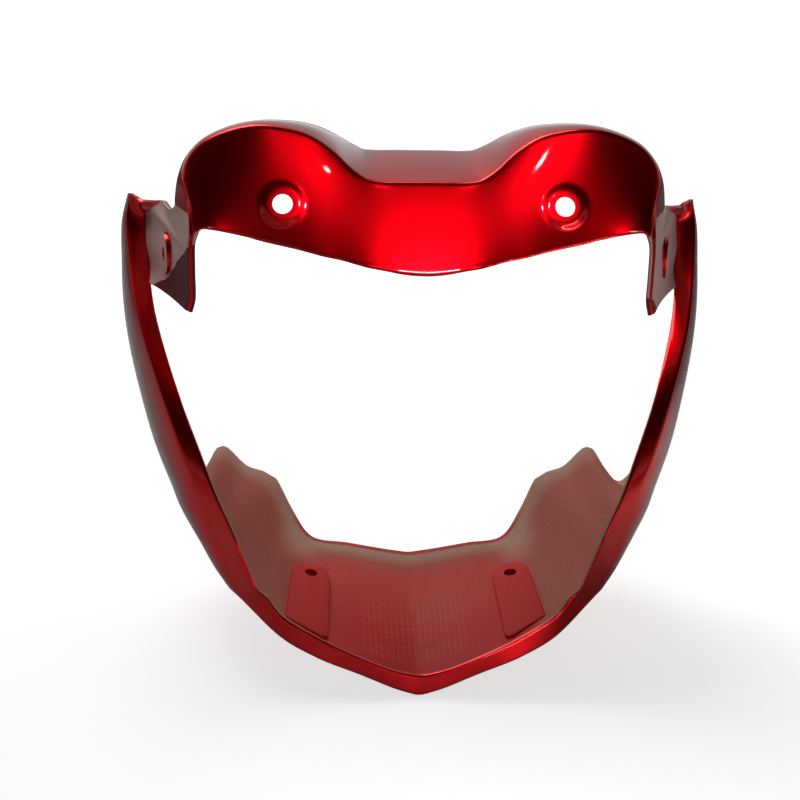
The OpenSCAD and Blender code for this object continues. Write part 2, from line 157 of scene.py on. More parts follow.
@dataclass
class GuideStretch:
    """A stretch of a wall's guide points, joined smoothly from row to row."""

    rows: list[Row]

    def __post_init__(self) -> None:
        """Splits the rows into distances and points."""
        self.along = np.array([row[0] for row in self.rows], float)
        self.points = np.array([row[1] for row in self.rows], float)

    def slopes(self) -> np.ndarray:
        """Works out how fast each guide point moves along the ring at its row.

        Returns:
            One slope for each row and guide point.
        """
        steps = np.diff(self.along)[:, None, None]
        chords = np.diff(self.points, axis=0) / steps
        slopes = np.empty_like(self.points)
        slopes[0], slopes[-1] = chords[0], chords[-1]
        before, after = steps[:-1], steps[1:]
        slopes[1:-1] = (chords[1:] * before + chords[:-1] * after) / (before + after)
        if self.points[0, 0, 0] == 0:
            slopes[0, :, 1:] = 0
        return slopes

    def within(self, stations: np.ndarray) -> np.ndarray:
        """Finds the five guide points at those places along the ring that lie on this stretch.

        Args:
            stations: Distances along the ring, in millimetres.

        Returns:
            An array of stations by five guide points by three coordinates.
        """
        points, slopes = self.points, self.slopes()
        stations = stations[(stations >= self.along[0]) & (stations <= self.along[-1])]
        index = np.clip(np.searchsorted(self.along, stations, side="right") - 1, 0, len(self.along) - 2)
        width = self.along[index + 1] - self.along[index]
        t = ((stations - self.along[index]) / width)[:, None, None]
        span = width[:, None, None]
        return (
            (2 * t**3 - 3 * t**2 + 1) * points[index]
            + (t**3 - 2 * t**2 + t) * span * slopes[index]
            + (3 * t**2 - 2 * t**3) * points[index + 1]
            + (t**3 - t**2) * span * slopes[index + 1]
        )


@dataclass
class Feature:
    """A feature of the right half with a hole through it, in its own frame, whose Z leaves its face."""

    centre: Point
    # Turns of the frame, in degrees and about which of its axes
    turns: tuple[tuple[float, str], ...]
    hole_r: float
    # Reach of the hole's cutter below and above the face
    cut: Span

    def place(self) -> Matrix:
        """Gives the feature's own frame."""
        place = Matrix.Translation(placed(np.array(self.centre)))
        for degrees, axis in self.turns:
            place = place @ Matrix.Rotation(math.radians(degrees), 4, axis)
        return place

    def hole(self) -> bmesh.types.BMesh:
        """Builds the cutter of the hole."""
        return rounded_plug(self.place(), self.hole_r, *self.cut)


@dataclass
class Seat(Feature):
    """A low round seat pressed out of the visor, with the hole for the screen's grommet."""

    centre: Point = (71.0, 27.0, 14.8)
    turns: tuple[tuple[float, str], ...] = ((67.0, "X"),)
    hole_r: float = 5.1
    cut: Span = (-9.0, 3.0)
    foot_r: float = 12.8
    top_r: float = 7.8
    rise: float = 1.4
    # Points farther than this from the seat's plane stay where they are
    near: float = 16.0

    def axis(self) -> np.ndarray:
        """Gives the direction out of the seat's top."""
        lean = math.radians(self.turns[0][0])
        return np.array([0.0, -math.sin(lean), math.cos(lean)])

    def press(self, points: np.ndarray, below: float = 0.0) -> np.ndarray:
        """Pushes the wall out to the seat's profile, flat on top.

        Args:
            points: Guide-frame points of the wall.
            below: How far these points lie under the seat's top where it is flat.

        Returns:
            The moved points.
        """
        offset = points - np.array(self.centre)
        height = offset @ self.axis()
        radius = np.linalg.norm(offset - height[..., None] * self.axis(), axis=-1)
        t = np.clip((self.foot_r - radius) / (self.foot_r - self.top_r), 0, 1)
        push = (self.rise - below - height) * (t * t * (3 - 2 * t)) * (np.abs(height) < self.near)
        return points + push[..., None] * self.axis()


@dataclass
class Wall:
    """One moulded wall, lofted through the guide points of one stretch or more, with rounded rims.

    Its lengths are in millimetres. Its side is 1 or -1, whichever makes the normals leave the painted side.
    """

    name: str
    stretches: list[GuideStretch]
    side: int
    thickness: float
    stations: np.ndarray
    fold_r: float
    face_points: int
    skin_points: int
    fold_points: int = 7
    rim_points: int = 4
    # Largest share of a flank that the fold takes up
    fold_share: float = 0.4
    # Length along each flank, and its largest share of the flank, over which the inner corner is blended in
    clear: float = 4.0
    clear_share: float = 0.5
    corner_passes: int = 2
    # Bulge of the rims, in thicknesses of the wall
    rim_bulge: float = 0.35
    # Height of the fuller face, where it ends along the ring, and the share of that over which it fades
    crown: float = 0.0
    crown_end: float = 0.0
    crown_fade: float = 0.2
    fair_passes: int = 80
    fair_weight: float = 0.5
    seat: Seat | None = None
    # Distance along the ring from which the painted side, but for its face, takes the ears' painted
    # reflection of the white surroundings and of the dark
    ear_reflection_from: float = math.inf
    rims: list[np.ndarray] = field(default_factory=list)

    def outer(self, guides: np.ndarray) -> tuple[np.ndarray, int, int]:
        """Lays the outer outline of every section: face, fold and skin.

        Args:
            guides: The five guide points at each station.

        Returns:
            The outline points, and the places in them where the fold starts and ends.
        """
        rim, ridge, skin_a, skin_b, rear = (guides[:, k] for k in range(5))
        face_len = np.linalg.norm(rim - ridge, axis=1)
        skin_len = np.linalg.norm(rear - ridge, axis=1)
        reach = np.minimum(self.fold_r, self.fold_share * np.minimum(face_len, skin_len))[:, None]
        before = ridge + reach * unit(rim - ridge)
        start = reach / (3 * np.linalg.norm(skin_a - ridge, axis=1, keepdims=True))
        after = self.bezier(ridge, skin_a, skin_b, rear, start)
        columns = [rim + (before - rim) * t for t in np.linspace(0, 1, self.face_points)]
        for t in np.linspace(0, 1, self.fold_points + 2)[1:-1]:
            columns.append((1 - t) ** 2 * before + 2 * t * (1 - t) * ridge + t**2 * after)
        for t in np.linspace(0, 1, self.skin_points):
            columns.append(self.bezier(ridge, skin_a, skin_b, rear, start + (1 - start) * t))
        return np.stack(columns, axis=1), self.face_points - 1, self.face_points + self.fold_points

    @staticmethod
    def bezier(a: np.ndarray, b: np.ndarray, c: np.ndarray, d: np.ndarray, t: np.ndarray) -> np.ndarray:
        """Gives the points of cubic curves at their own parameters."""
        return (1 - t) ** 3 * a + 3 * (1 - t) ** 2 * t * b + 3 * (1 - t) * t**2 * c + t**3 * d

    def normals(self, grid: np.ndarray) -> np.ndarray:
        """Finds the outward direction at every point of the outer grid.

        Args:
            grid: Stations by outline points.

        Returns:
            Unit normals of the same shape.
        """
        cells = np.cross(grid[1:, 1:] - grid[:-1, :-1], grid[:-1, 1:] - grid[1:, :-1])
        total = np.zeros_like(grid)
        for a in (0, 1):
            for b in (0, 1):
                total[a : a + cells.shape[0], b : b + cells.shape[1]] += cells
        if abs(grid[0, 0, 0]) < ON_MIDDLE:
            total[0, :, 0] = 0
        return self.side * unit(total)

    def inner(
        self, grid: np.ndarray, normals: np.ndarray, guides: np.ndarray, fold: tuple[int, int]
    ) -> np.ndarray:
        """Moves the outline in by the wall, with the two flanks meeting in a rounded corner.

        Args:
            grid: The outer points.
            normals: Their normals.
            guides: The guide points of each section.
            fold: The places where the fold starts and ends.

        Returns:
            The inner points, as many as the outer ones.
        """
        start, end = fold
        rim, ridge, handle, _, rear = (guides[:, k] for k in range(5))
        face_n, skin_n = normals[:, max(start - 1, 0)], normals[:, end + 1]
        corner = ridge - self.thickness * (face_n + skin_n) / (1 + (face_n * skin_n).sum(1, keepdims=True))
        flanks = []
        for toward, far, normal in ((rim, rim, face_n), (handle, rear, skin_n)):
            way = unit(toward - ridge)
            free = np.minimum(self.clear, self.clear_share * np.linalg.norm(far - ridge, axis=1))[:, None]
            gone = ((grid - ridge[:, None]) * way[:, None]).sum(2)
            flanks.append((gone, free, ridge + free * way - self.thickness * normal))
        moved = grid - self.thickness * normals
        for j in range(grid.shape[1]):
            gone, free, edge = flanks[j > (start + end) // 2]
            share = np.clip(gone[:, j : j + 1] / free, 0, 1)
            moved[:, j] = np.where(share < 1, corner + (edge - corner) * share, moved[:, j])
        for _ in range(self.corner_passes):
            moved[:, start - 1 : end + 2] = 0.25 * (
                moved[:, start - 2 : end + 1] + 2 * moved[:, start - 1 : end + 2] + moved[:, start : end + 3]
            )
        return moved

    def crowned(self, grid: np.ndarray, last: int) -> np.ndarray:
        """Evens out the ruled face along the ring and bulges it a little between rim and fold.

        Args:
            grid: The outer points.
            last: Place in the outline where the face ends.

        Returns:
            The outer points with the fuller face.
        """
        share = np.linspace(0, 1, last + 1)
        arch = 4 * share * (1 - share)
        fade = np.clip((self.crown_end - self.stations) / (self.crown_fade * self.crown_end), 0, 1)
        face = grid[:, : last + 1].copy()
        weight = self.fair_weight * (fade[:, None] * np.sqrt(arch)[None, :])[..., None]
        flip = np.array([-1.0, 1.0, 1.0])
        for _ in range(self.fair_passes):
            padded = np.concatenate([face[1:2] * flip, face, face[-1:]])
            face += weight * ((padded[:-2] + padded[2:]) / 2 - face)
        fuller = grid.copy()
        fuller[:, : last + 1] = face
        lift = (self.crown * fade[:, None] * arch[None, :])[..., None]
        fuller[:, : last + 1] += lift * self.normals(fuller)[:, : last + 1]
        return fuller

    def rim_arc(self, outer: np.ndarray, inner: np.ndarray, beyond: np.ndarray) -> np.ndarray:
        """Rounds the rim between the last outer and inner points.

        Args:
            outer: Last outer point of each section.
            inner: Last inner point of each section.
            beyond: Unit direction out of the rim.

        Returns:
            The points between the two, from outer to inner.
        """
        middle, half = (outer + inner) / 2, (outer - inner) / 2
        angles = np.linspace(0, math.pi, self.rim_points + 2)[1:-1]
        bulge = self.rim_bulge * self.thickness
        return np.stack([middle + math.cos(a) * half + math.sin(a) * bulge * beyond for a in angles], axis=1)

    def loops(self) -> tuple[np.ndarray, np.ndarray]:
        """Lays the closed loop of every section, and keeps its two rims.

        Returns:
            Stations by loop points, and for each loop point whether it belongs to the painted side.
        """
        guides = np.concatenate([stretch.within(self.stations) for stretch in self.stretches])
        grid, start, end = self.outer(guides)
        if self.crown > 0:
            grid = self.crowned(grid, start)
        inner = self.inner(grid, self.normals(grid), guides, (start, end))
        if self.seat:
            grid, inner = self.seat.press(grid), self.seat.press(inner, self.thickness)
        front = self.rim_arc(inner[:, 0], grid[:, 0], unit(grid[:, 0] - grid[:, 1]))
        rear = self.rim_arc(grid[:, -1], inner[:, -1], unit(grid[:, -1] - grid[:, -2]))
        self.rims = [grid[:, 0], grid[:, -1]]
        loop = np.concatenate([grid, rear, inner[:, ::-1], front], axis=1)
        painted = np.zeros(loop.shape[1], bool)
        painted[: grid.shape[1] + self.rim_points // 2] = True
        painted[-(self.rim_points // 2) :] = True
        return loop, painted

    def mesh(self) -> bmesh.types.BMesh:
        """Builds the wall's closed mesh, both halves.

        Returns:
            The wall in the frame, in metres.
        """
        loop, painted = self.loops()
        along, across = loop.shape[:2]
        bm = bmesh.new()
        bmesh.ops.create_grid(bm, x_segments=across, y_segments=along - 1, size=1.0)
        cells = {}
        for vert in bm.verts:
            column = round((vert.co.x + 1) / 2 * across)
            row = round((vert.co.y + 1) / 2 * (along - 1))
            vert.co = placed(loop[row, column % across])
            cells[vert] = row, column
        for face in bm.faces:
            row, column = (min(places) for places in zip(*(cells[vert] for vert in face.verts)))
            # Faces of the ears' sides take the ear finish, a painted reflection of the white surroundings and
            # of the dark
            ear_reflection = self.stations[row] > self.ear_reflection_from and column > self.face_points
            both = painted[column] and painted[(column + 1) % across]
            skin = Skin.OVERSPRAY if not both else Skin.EAR if ear_reflection else Skin.PAINT
            face.material_index = skin.value
        bmesh.ops.remove_doubles(bm, verts=bm.verts, dist=MERGE_DISTANCE)
        ends = [e for e in bm.edges if e.is_boundary]
        bmesh.ops.holes_fill(bm, edges=[e for e in ends if min(v.co.x for v in e.verts) > MM], sides=0)
        bmesh.ops.triangulate(bm, faces=[f for f in bm.faces if len(f.verts) > 4])
        geometry = bm.verts[:] + bm.edges[:] + bm.faces[:]
        bmesh.ops.mirror(bm, geom=geometry, axis="X", merge_dist=MERGE_DISTANCE)
        bmesh.ops.recalc_face_normals(bm, faces=bm.faces)
        return bm


def spaced(low: float, high: float, step: float) -> np.ndarray:
    """Spaces the sections of a stretch of wall, both ends included.

    Args:
        low: Where the stretch starts along the ring.
        high: Where it ends.
        step: Longest distance between sections.

    Returns:
        The distances along the ring.
    """
    return np.linspace(low, high, math.ceil((high - low) / step) + 1)


def to_object(bm: bmesh.types.BMesh, name: str, finishes: list[bpy.types.Material]) -> bpy.types.Object:
    """Makes an object at the origin from a mesh in the making, and frees it.

    Args:
        bm: The mesh in the making.
        name: The object's name.
        finishes: Its materials, in the order of their slots.

    Returns:
        The object.
    """
    data = bpy.data.meshes.new(name)
    for finish in finishes:
        data.materials.append(finish)
    bm.to_mesh(data)
    bm.free()
    made = bpy.data.objects.new(name, data)
    bpy.context.scene.collection.objects.link(made)
    return made


def ease(bm: bmesh.types.BMesh, edges: list[bmesh.types.BMEdge], width: float, segments: int = 3) -> None:
    """Rounds edges over a width in millimetres."""
    bmesh.ops.bevel(
        bm, geom=edges, offset=width * MM, segments=segments, profile=0.5, affect="EDGES", material=-1
    )


def rounded_plug(
    place: Matrix, radius: float, low: float, high: float, edge: float = 0.0, segments: int = 96
) -> bmesh.types.BMesh:
    """Builds a round plug whose upper edge may be rounded.

    Args:
        place: The plug's own frame.
        radius: Its radius, in millimetres.
        low: Height of its bottom along its axis.
        high: Height of its face.
        edge: Rounding of the face's edge.
        segments: How many sides stand for the round.

    Returns:
        The plug in the frame.
    """
    bm = bmesh.new()
    wide, deep = radius * MM, (high - low) * MM
    bmesh.ops.create_cone(bm, cap_ends=True, segments=segments, radius1=wide, radius2=wide, depth=deep)
    if edge > 0:
        ease(bm, [e for e in bm.edges if all(v.co.z > 0 for v in e.verts)], edge)
    bmesh.ops.translate(bm, verts=bm.verts, vec=(0, 0, (high + low) / 2 * MM))
    bmesh.ops.transform(bm, matrix=place, verts=bm.verts)
    return bm


@dataclass
class EarBoss(Feature):
    """The round boss on each ear, with its screw hole."""

    centre: Point = (133.8, 67.0, -22.2)
    turns: tuple[tuple[float, str], ...] = ((-13.0, "Z"), (90.0, "Y"))
    hole_r: float = 3.6
    cut: Span = (-9.0, 5.0)
    radius: float = 11.0
    depth: float = 4.2
    edge: float = 0.5
    # Facets whose normal leans no more than this cosine from the axis make up the face, which takes the ear
    # sides' painted reflection
    facing: float = 0.7

    def body(self) -> bmesh.types.BMesh:
        """Builds the boss with a rounded front edge, with the ear sides' painted reflection on its face and
        candy paint round its side.

        Returns:
            The right-hand boss.
        """
        bm = rounded_plug(self.place(), self.radius, -self.depth, 0.0, self.edge)
        axis = self.place().to_3x3() @ Vector((0, 0, 1))
        bm.normal_update()
        for face in bm.faces:
            if face.normal.dot(axis) > self.facing:
                face.material_index = Skin.EAR.value
        return bm


@dataclass
class ChinPad(Feature):
    """A raised pad on the chin's floor, round at the rear and cut off parallel to the rim in front."""

    centre: Point = (55.2, 49.5, -198.7)
    turns: tuple[tuple[float, str], ...] = ((-12.0, "Y"), (6.5, "X"))
    hole_r: float = 3.4
    cut: Span = (-12.0, 6.0)
    radius: float = 10.5
    inner_len: float = 60.0
    outer_len: float = 47.0
    flare: float = 2.5
    corner_r: float = 3.0
    # Where the front corner's arc ends, past the half turn at which it starts
    corner_end_deg: float = 297.0
    rear_depth: float = 5.2
    front_depth: float = 2.2
    edge: float = 0.8
    arc_points: int = 24

    @staticmethod
    def arc(centre: Span, radius: float, angles: np.ndarray) -> list[Span]:
        """Lays points on an arc."""
        return [(centre[0] + radius * math.cos(a), centre[1] + radius * math.sin(a)) for a in angles]

    def outline(self) -> list[Span]:
        """Lays the pad's outline, seen from above.

        Returns:
            The corner points in order, in millimetres.
        """
        corner = (self.corner_r - self.radius, self.corner_r - self.inner_len)
        turn = np.linspace(math.pi, math.radians(self.corner_end_deg), self.arc_points // 3)
        return [
            *self.arc((0.0, 0.0), self.radius, np.linspace(0, math.pi, self.arc_points)),
            *self.arc(corner, self.corner_r, turn),
            (self.radius + self.flare, -self.outer_len),
        ]

    def body(self) -> bmesh.types.BMesh:
        """Builds the pad: outline, wedge-shaped depth and rounded upper edge.

        Returns:
            The right-hand pad.
        """
        bm = bmesh.new()
        verts = [bm.verts.new((x * MM, y * MM, 0.0)) for x, y in self.outline()]
        top = bm.faces.new(verts)
        sunk = bmesh.ops.extrude_face_region(bm, geom=[top])
        for vert in (g for g in sunk["geom"] if isinstance(g, bmesh.types.BMVert)):
            share = (vert.co.y / MM + self.inner_len) / (self.radius + self.inner_len)
            vert.co.z = -(self.front_depth + (self.rear_depth - self.front_depth) * share) * MM
        bmesh.ops.recalc_face_normals(bm, faces=bm.faces)
        ease(bm, [e for e in bm.edges if all(abs(v.co.z) < MERGE_DISTANCE for v in e.verts)], self.edge)
        for face in bm.faces:
            face.material_index = Skin.PAD.value
        bmesh.ops.transform(bm, matrix=self.place(), verts=bm.verts)
        return bm


@dataclass
class ArmCap:
    """The two wedges that close the gap between the ear and the end of the arm."""

    web: tuple[Point, ...] = (
        (135.6, 92, 0.2), (147.8, 104.2, -3.8), (148.5, 112.5, -4.2), (145.8, 110, -4),
        (136.3, 92, -2), (143, 102, -7.5), (147.6, 105.2, -10), (148.5, 112.5, -9.5), (146, 109.5, -9),
    )
    cap: tuple[Point, ...] = (
        (147.2, 104.6, -4.3), (154.8, 112.5, -1.6), (156.6, 127, -4.6), (150.8, 118.5, -4), (147, 111, -4.4),
        (147.4, 106, -8), (155.3, 114, -6), (157.2, 126.5, -10.5), (151, 118.5, -9.5), (147.5, 111.5, -8),
    )
    edge: float = 0.35
    # Facets that turn less than this against each other are made one
    flat_deg: float = 6.0

    def bodies(self) -> list[bmesh.types.BMesh]:
        """Builds both wedges, each with its edges eased.

        Returns:
            The right-hand web and cap.
        """
        made = []
        for points in (self.web, self.cap):
            bm = bmesh.new()
            for point in points:
                bm.verts.new(placed(np.array(point, float)))
            hull = bmesh.ops.convex_hull(bm, input=bm.verts)
            loose = [g for g in hull["geom_interior"] if isinstance(g, bmesh.types.BMVert)]
            bmesh.ops.delete(bm, geom=loose, context="VERTS")
            flat = math.radians(self.flat_deg)
            bmesh.ops.dissolve_limit(bm, angle_limit=flat, verts=bm.verts, edges=bm.edges)
            ease(bm, bm.edges[:], self.edge, segments=2)
            bmesh.ops.recalc_face_normals(bm, faces=bm.faces)
            made.append(bm)
        return made


@dataclass
class Cowl:
    """The whole cowl: two walls, their bosses, pads and caps, and the holes through them."""

    finishes: list[bpy.types.Material]
    seat: Seat = field(default_factory=Seat)
    boss: EarBoss = field(default_factory=EarBoss)
    pad: ChinPad = field(default_factory=ChinPad)
    cap: ArmCap = field(default_factory=ArmCap)
    sharp_deg: float = 38.0

    def walls(self) -> list[Wall]:
        """Lists the two lofted walls.

        Returns:
            The chin with its arms, and the visor with its ears.
        """
        chin = Wall(
            name="chin_and_arms",
            stretches=[GuideStretch(CHIN_ROWS), GuideStretch(ARM_ROWS)],
            side=-1,
            thickness=2.5,
            stations=np.concatenate([spaced(0, 90, 2.0), spaced(92, 324, 2.0)]),
            fold_r=1.5,
            face_points=8,
            skin_points=34,
        )
        visor = Wall(
            name="visor_and_ears",
            stretches=[GuideStretch(VISOR_ROWS + EAR_ROWS)],
            side=1,
            thickness=2.2,
            stations=np.concatenate([spaced(0, 58, 1.6), spaced(58, 96, 0.9)[1:], spaced(96, 213, 1.6)[1:]]),
            fold_r=1.8,
            face_points=48,
            skin_points=26,
            crown=0.15,
            crown_end=130.0,
            seat=self.seat,
            ear_reflection_from=147.0,
        )
        return [chin, visor]

    def both(self, bm: bmesh.types.BMesh, name: str) -> list[bpy.types.Object]:
        """Makes an object of a right-hand feature and one of its mirror image.

        Args:
            bm: The right-hand feature.
            name: Its name.

        Returns:
            The right and the left object.
        """
        right = to_object(bm, name, self.finishes)
        other = bmesh.new()
        other.from_mesh(right.data)
        bmesh.ops.scale(other, vec=(-1, 1, 1), verts=other.verts)
        bmesh.ops.reverse_faces(other, faces=other.faces)
        return [right, to_object(other, name + "_left", self.finishes)]

    def combine(self, base: bpy.types.Object, others: list[bpy.types.Object], operation: str) -> None:
        """Joins or cuts the base with other closed meshes, and removes those.

        Args:
            base: The object that is kept.
            others: The objects that are joined to it or cut from it.
            operation: UNION or DIFFERENCE.
        """
        for other in others:
            step = base.modifiers.new("combine", "BOOLEAN")
            step.operation, step.object, step.solver = operation, other, "MANIFOLD"
            depsgraph = bpy.context.evaluated_depsgraph_get()
            result = bpy.data.meshes.new_from_object(base.evaluated_get(depsgraph))
            old = base.data
            base.modifiers.clear()
            base.data = result
            bpy.data.meshes.remove(old)
            bpy.data.objects.remove(other)

    def build(self) -> bpy.types.Object:
        """Builds the cowl's mesh and rides it on the frame.

        Returns:
            The finished piece.
        """
        walls = self.walls()
        piece, *extras = (to_object(wall.mesh(), wall.name, self.finishes) for wall in walls)
        for wedge, name in zip(self.cap.bodies(), ("web", "cap")):
            extras += self.both(wedge, name)
        extras += self.both(self.boss.body(), "boss") + self.both(self.pad.body(), "pad")
        self.combine(piece, extras, "UNION")
        for index, feature in enumerate((self.seat, self.boss, self.pad)):
            self.combine(piece, self.both(feature.hole(), f"hole_{index}"), "DIFFERENCE")
        piece.name = piece.data.name = "cowl_moulding"
        self.measure_rims(piece, walls[0])
        piece.data.set_sharp_from_angle(angle=math.radians(self.sharp_deg))
        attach(piece, BODY)
        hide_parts(NODE)
        log.info("%s: %d faces", piece.name, len(piece.data.polygons))
        return piece

    def measure_rims(self, piece: bpy.types.Object, chin: Wall) -> None:
        """Stores on every vertex how far it is from the chin's front rim and rear edge.

        Args:
            piece: The finished mesh.
            chin: The chin's wall, with its rims laid.
        """
        for name, rim in zip(("rim_gap", "rear_gap"), chin.rims):
            dense = np.concatenate([rim[:-1] + (rim[1:] - rim[:-1]) * t for t in (0, 0.25, 0.5, 0.75)])
            tree = KDTree(2 * len(dense))
            for index, point in enumerate(dense):
                spot = placed(point)
                tree.insert(spot, 2 * index)
                tree.insert(Vector((-spot.x, spot.y, spot.z)), 2 * index + 1)
            tree.balance()
            gaps = np.array([tree.find(v.co)[2] for v in piece.data.vertices], np.float32)
            piece.data.attributes.new(name, "FLOAT", "POINT").data.foreach_set("value", gaps)


@dataclass(frozen=True)
class Number:
    """A value in a shader, which the usual operators turn into Math nodes."""

    tree: "ShaderTree"
    socket: bpy.types.NodeSocket

    def _math(self, operation: str, *values: "Number | float") -> "Number":
        """Adds one Math node over some values."""
        node = self.tree.node("ShaderNodeMath", {"operation": operation}, dict(enumerate(values)))
        return Number(self.tree, node.outputs[0])

    def __add__(self, other: "Number | float") -> "Number":
        """Adds, in either order."""
        return self._math("ADD", self, other)

    __radd__ = __add__

    def __sub__(self, other: "Number | float") -> "Number":
        """Subtracts."""
        return self._math("SUBTRACT", self, other)

    def __rsub__(self, other: float) -> "Number":
        """Subtracts from the number on the left."""
        return self._math("SUBTRACT", other, self)

    def __mul__(self, other: "Number | float") -> "Number":
        """Multiplies, in either order."""
        return self._math("MULTIPLY", self, other)

    __rmul__ = __mul__

    def __truediv__(self, other: "Number | float") -> "Number":
        """Divides."""
        return self._math("DIVIDE", self, other)

    def biggest(self, other: "Number | float") -> "Number":
        """Takes the larger of two values."""
        return self._math("MAXIMUM", self, other)

    def absolute(self) -> "Number":
        """Drops the sign."""
        return self._math("ABSOLUTE", self)

    def wrapped(self, period: float) -> "Number":
        """Gives the distance to the nearest whole multiple of the period."""
        return self._math("PINGPONG", self, period / 2)

    def between(self, low: float, high: float, smooth: bool = True) -> "Number":
        """Maps a stretch of values to 0 to 1, clipped at both ends.

        Args:
            low: Value that gives 0.
            high: Value that gives 1.
            smooth: Whether the ends are eased.

        Returns:
            The mapped value.
        """
        kind = "SMOOTHSTEP" if smooth else "LINEAR"
        inputs = {"Value": self, "From Min": low, "From Max": high, "To Min": 0.0, "To Max": 1.0}
        node = self.tree.node("ShaderNodeMapRange", {"interpolation_type": kind}, inputs)
        return Number(self.tree, node.outputs["Result"])


class ShaderTree:
    """A node tree that is filled from Python expressions."""

    def __init__(self, tree: bpy.types.NodeTree) -> None:
        """Empties the tree and keeps it."""
        self.tree = tree
        tree.nodes.clear()

    def node(self, kind: str, settings: dict | None = None, inputs: dict | None = None) -> bpy.types.Node:
        """Adds one node.

        Args:
            kind: The node's type.
            settings: Its own settings, which are set first.
            inputs: Values or links of its sockets, by name or number.

        Returns:
            The node.
        """
        made = self.tree.nodes.new(kind)
        for key, value in (settings or {}).items():
            setattr(made, key, value)
        for key, value in (inputs or {}).items():
            socket = made.inputs[key]
            if isinstance(value, Number):
                self.tree.links.new(value.socket, socket)
            elif isinstance(value, bpy.types.NodeSocket):
                self.tree.links.new(value, socket)
            else:
                socket.default_value = value
        return made

    def number(
        self, kind: str, output: str | int, settings: dict | None = None, inputs: dict | None = None
    ) -> Number:
        """Adds one node and takes one of its outputs as a value."""
        return Number(self, self.node(kind, settings, inputs).outputs[output])

    def mix(self, factor: Number | float, a: object, b: object, blend: str = "MIX") -> bpy.types.NodeSocket:
        """Mixes two colours.

        Args:
            factor: Share of the second colour.
            a: First colour or link.
            b: Second colour or link.
            blend: How they blend.

        Returns:
            The mixed colour.
        """
        settings = {"data_type": "RGBA", "blend_type": blend, "clamp_factor": True}
        return self.node("ShaderNodeMix", settings, {0: factor, 6: a, 7: b}).outputs[2]

    def place(self) -> bpy.types.NodeSocket:
        """Gives the place on the object."""
        return self.node("ShaderNodeTexCoord").outputs["Object"]

    def axes(self) -> tuple[Number, Number, Number]:
        """Splits the place on the object into its three numbers."""
        node = self.node("ShaderNodeSeparateXYZ", None, {0: self.place()})
        return Number(self, node.outputs[0]), Number(self, node.outputs[1]), Number(self, node.outputs[2])

    def noise(self, scale: float, detail: float = 2.0, roughness: float = 0.5) -> Number:
        """Adds a noise pattern over the object.

        Args:
            scale: Cells to the metre.
            detail: Octaves.
            roughness: Strength of the finer octaves.

        Returns:
            The pattern, about 0 to 1.
        """
        inputs = {"Vector": self.place(), "Scale": scale, "Detail": detail, "Roughness": roughness}
        return self.number("ShaderNodeTexNoise", 0, None, inputs)

    def finish(self, kind: str, inputs: dict, output: str = "ShaderNodeOutputMaterial") -> None:
        """Adds the last shader and links it to the tree's output."""
        shader = self.node(kind, None, inputs)
        self.tree.links.new(shader.outputs[0], self.node(output).inputs[0])


def colour(red: float, green: float, blue: float) -> Colour:
    """Turns screen colour numbers from 0 to 255 into a shader colour."""
    shares = (level / 255 for level in (red, green, blue))
    return (*(s / 12.92 if s <= 0.04045 else ((s + 0.055) / 1.055) ** 2.4 for s in shares), 1.0)


def new_material(name: str) -> tuple[bpy.types.Material, ShaderTree]:
    """Makes an empty material.

    Args:
        name: Its name.

    Returns:
        The material, and the tree that fills it.
    """
    made = bpy.data.materials.new(name)
    made.use_nodes = True
    return made, ShaderTree(made.node_tree)


@dataclass(frozen=True)
class CandyPaint:
    """Translucent red over metal flake, under a hard clear coat."""

    name: str = "candy_paint"
    red: Colour = (0.80, 0.0008, 0.004, 1.0)
    deep: Colour = (0.62, 0.0005, 0.006, 1.0)
    edge_tint: Colour = (0.02, 0.0, 0.0, 1.0)
    metallic: float = 1.0
    roughness: float = 0.31
    coat_roughness: float = 0.035
    coat_ior: float = 1.4
    flakes_per_m: float = 2600.0
    flake_levels: Span = (0.35, 0.65)
    clouds_per_m: float = 14.0

    def material(self) -> bpy.types.Material:
        """Builds the material.

        Returns:
            The paint of the outer side.
        """
        made, tree = new_material(self.name)
        flake = tree.noise(self.flakes_per_m, 2.0, 0.7).between(*self.flake_levels)
        cloud = tree.noise(self.clouds_per_m, 2.0)
        inputs = {
            "Base Color": tree.mix(0.25 * cloud + 0.35 * flake, self.red, self.deep),
            "Metallic": self.metallic,
            "Roughness": self.roughness + 0.05 * (flake - 0.5),
            "Specular Tint": self.edge_tint,
            "Coat Weight": 1.0,
            "Coat Roughness": self.coat_roughness,
            "Coat IOR": self.coat_ior,
        }
        tree.finish("ShaderNodeBsdfPrincipled", inputs)
        return made


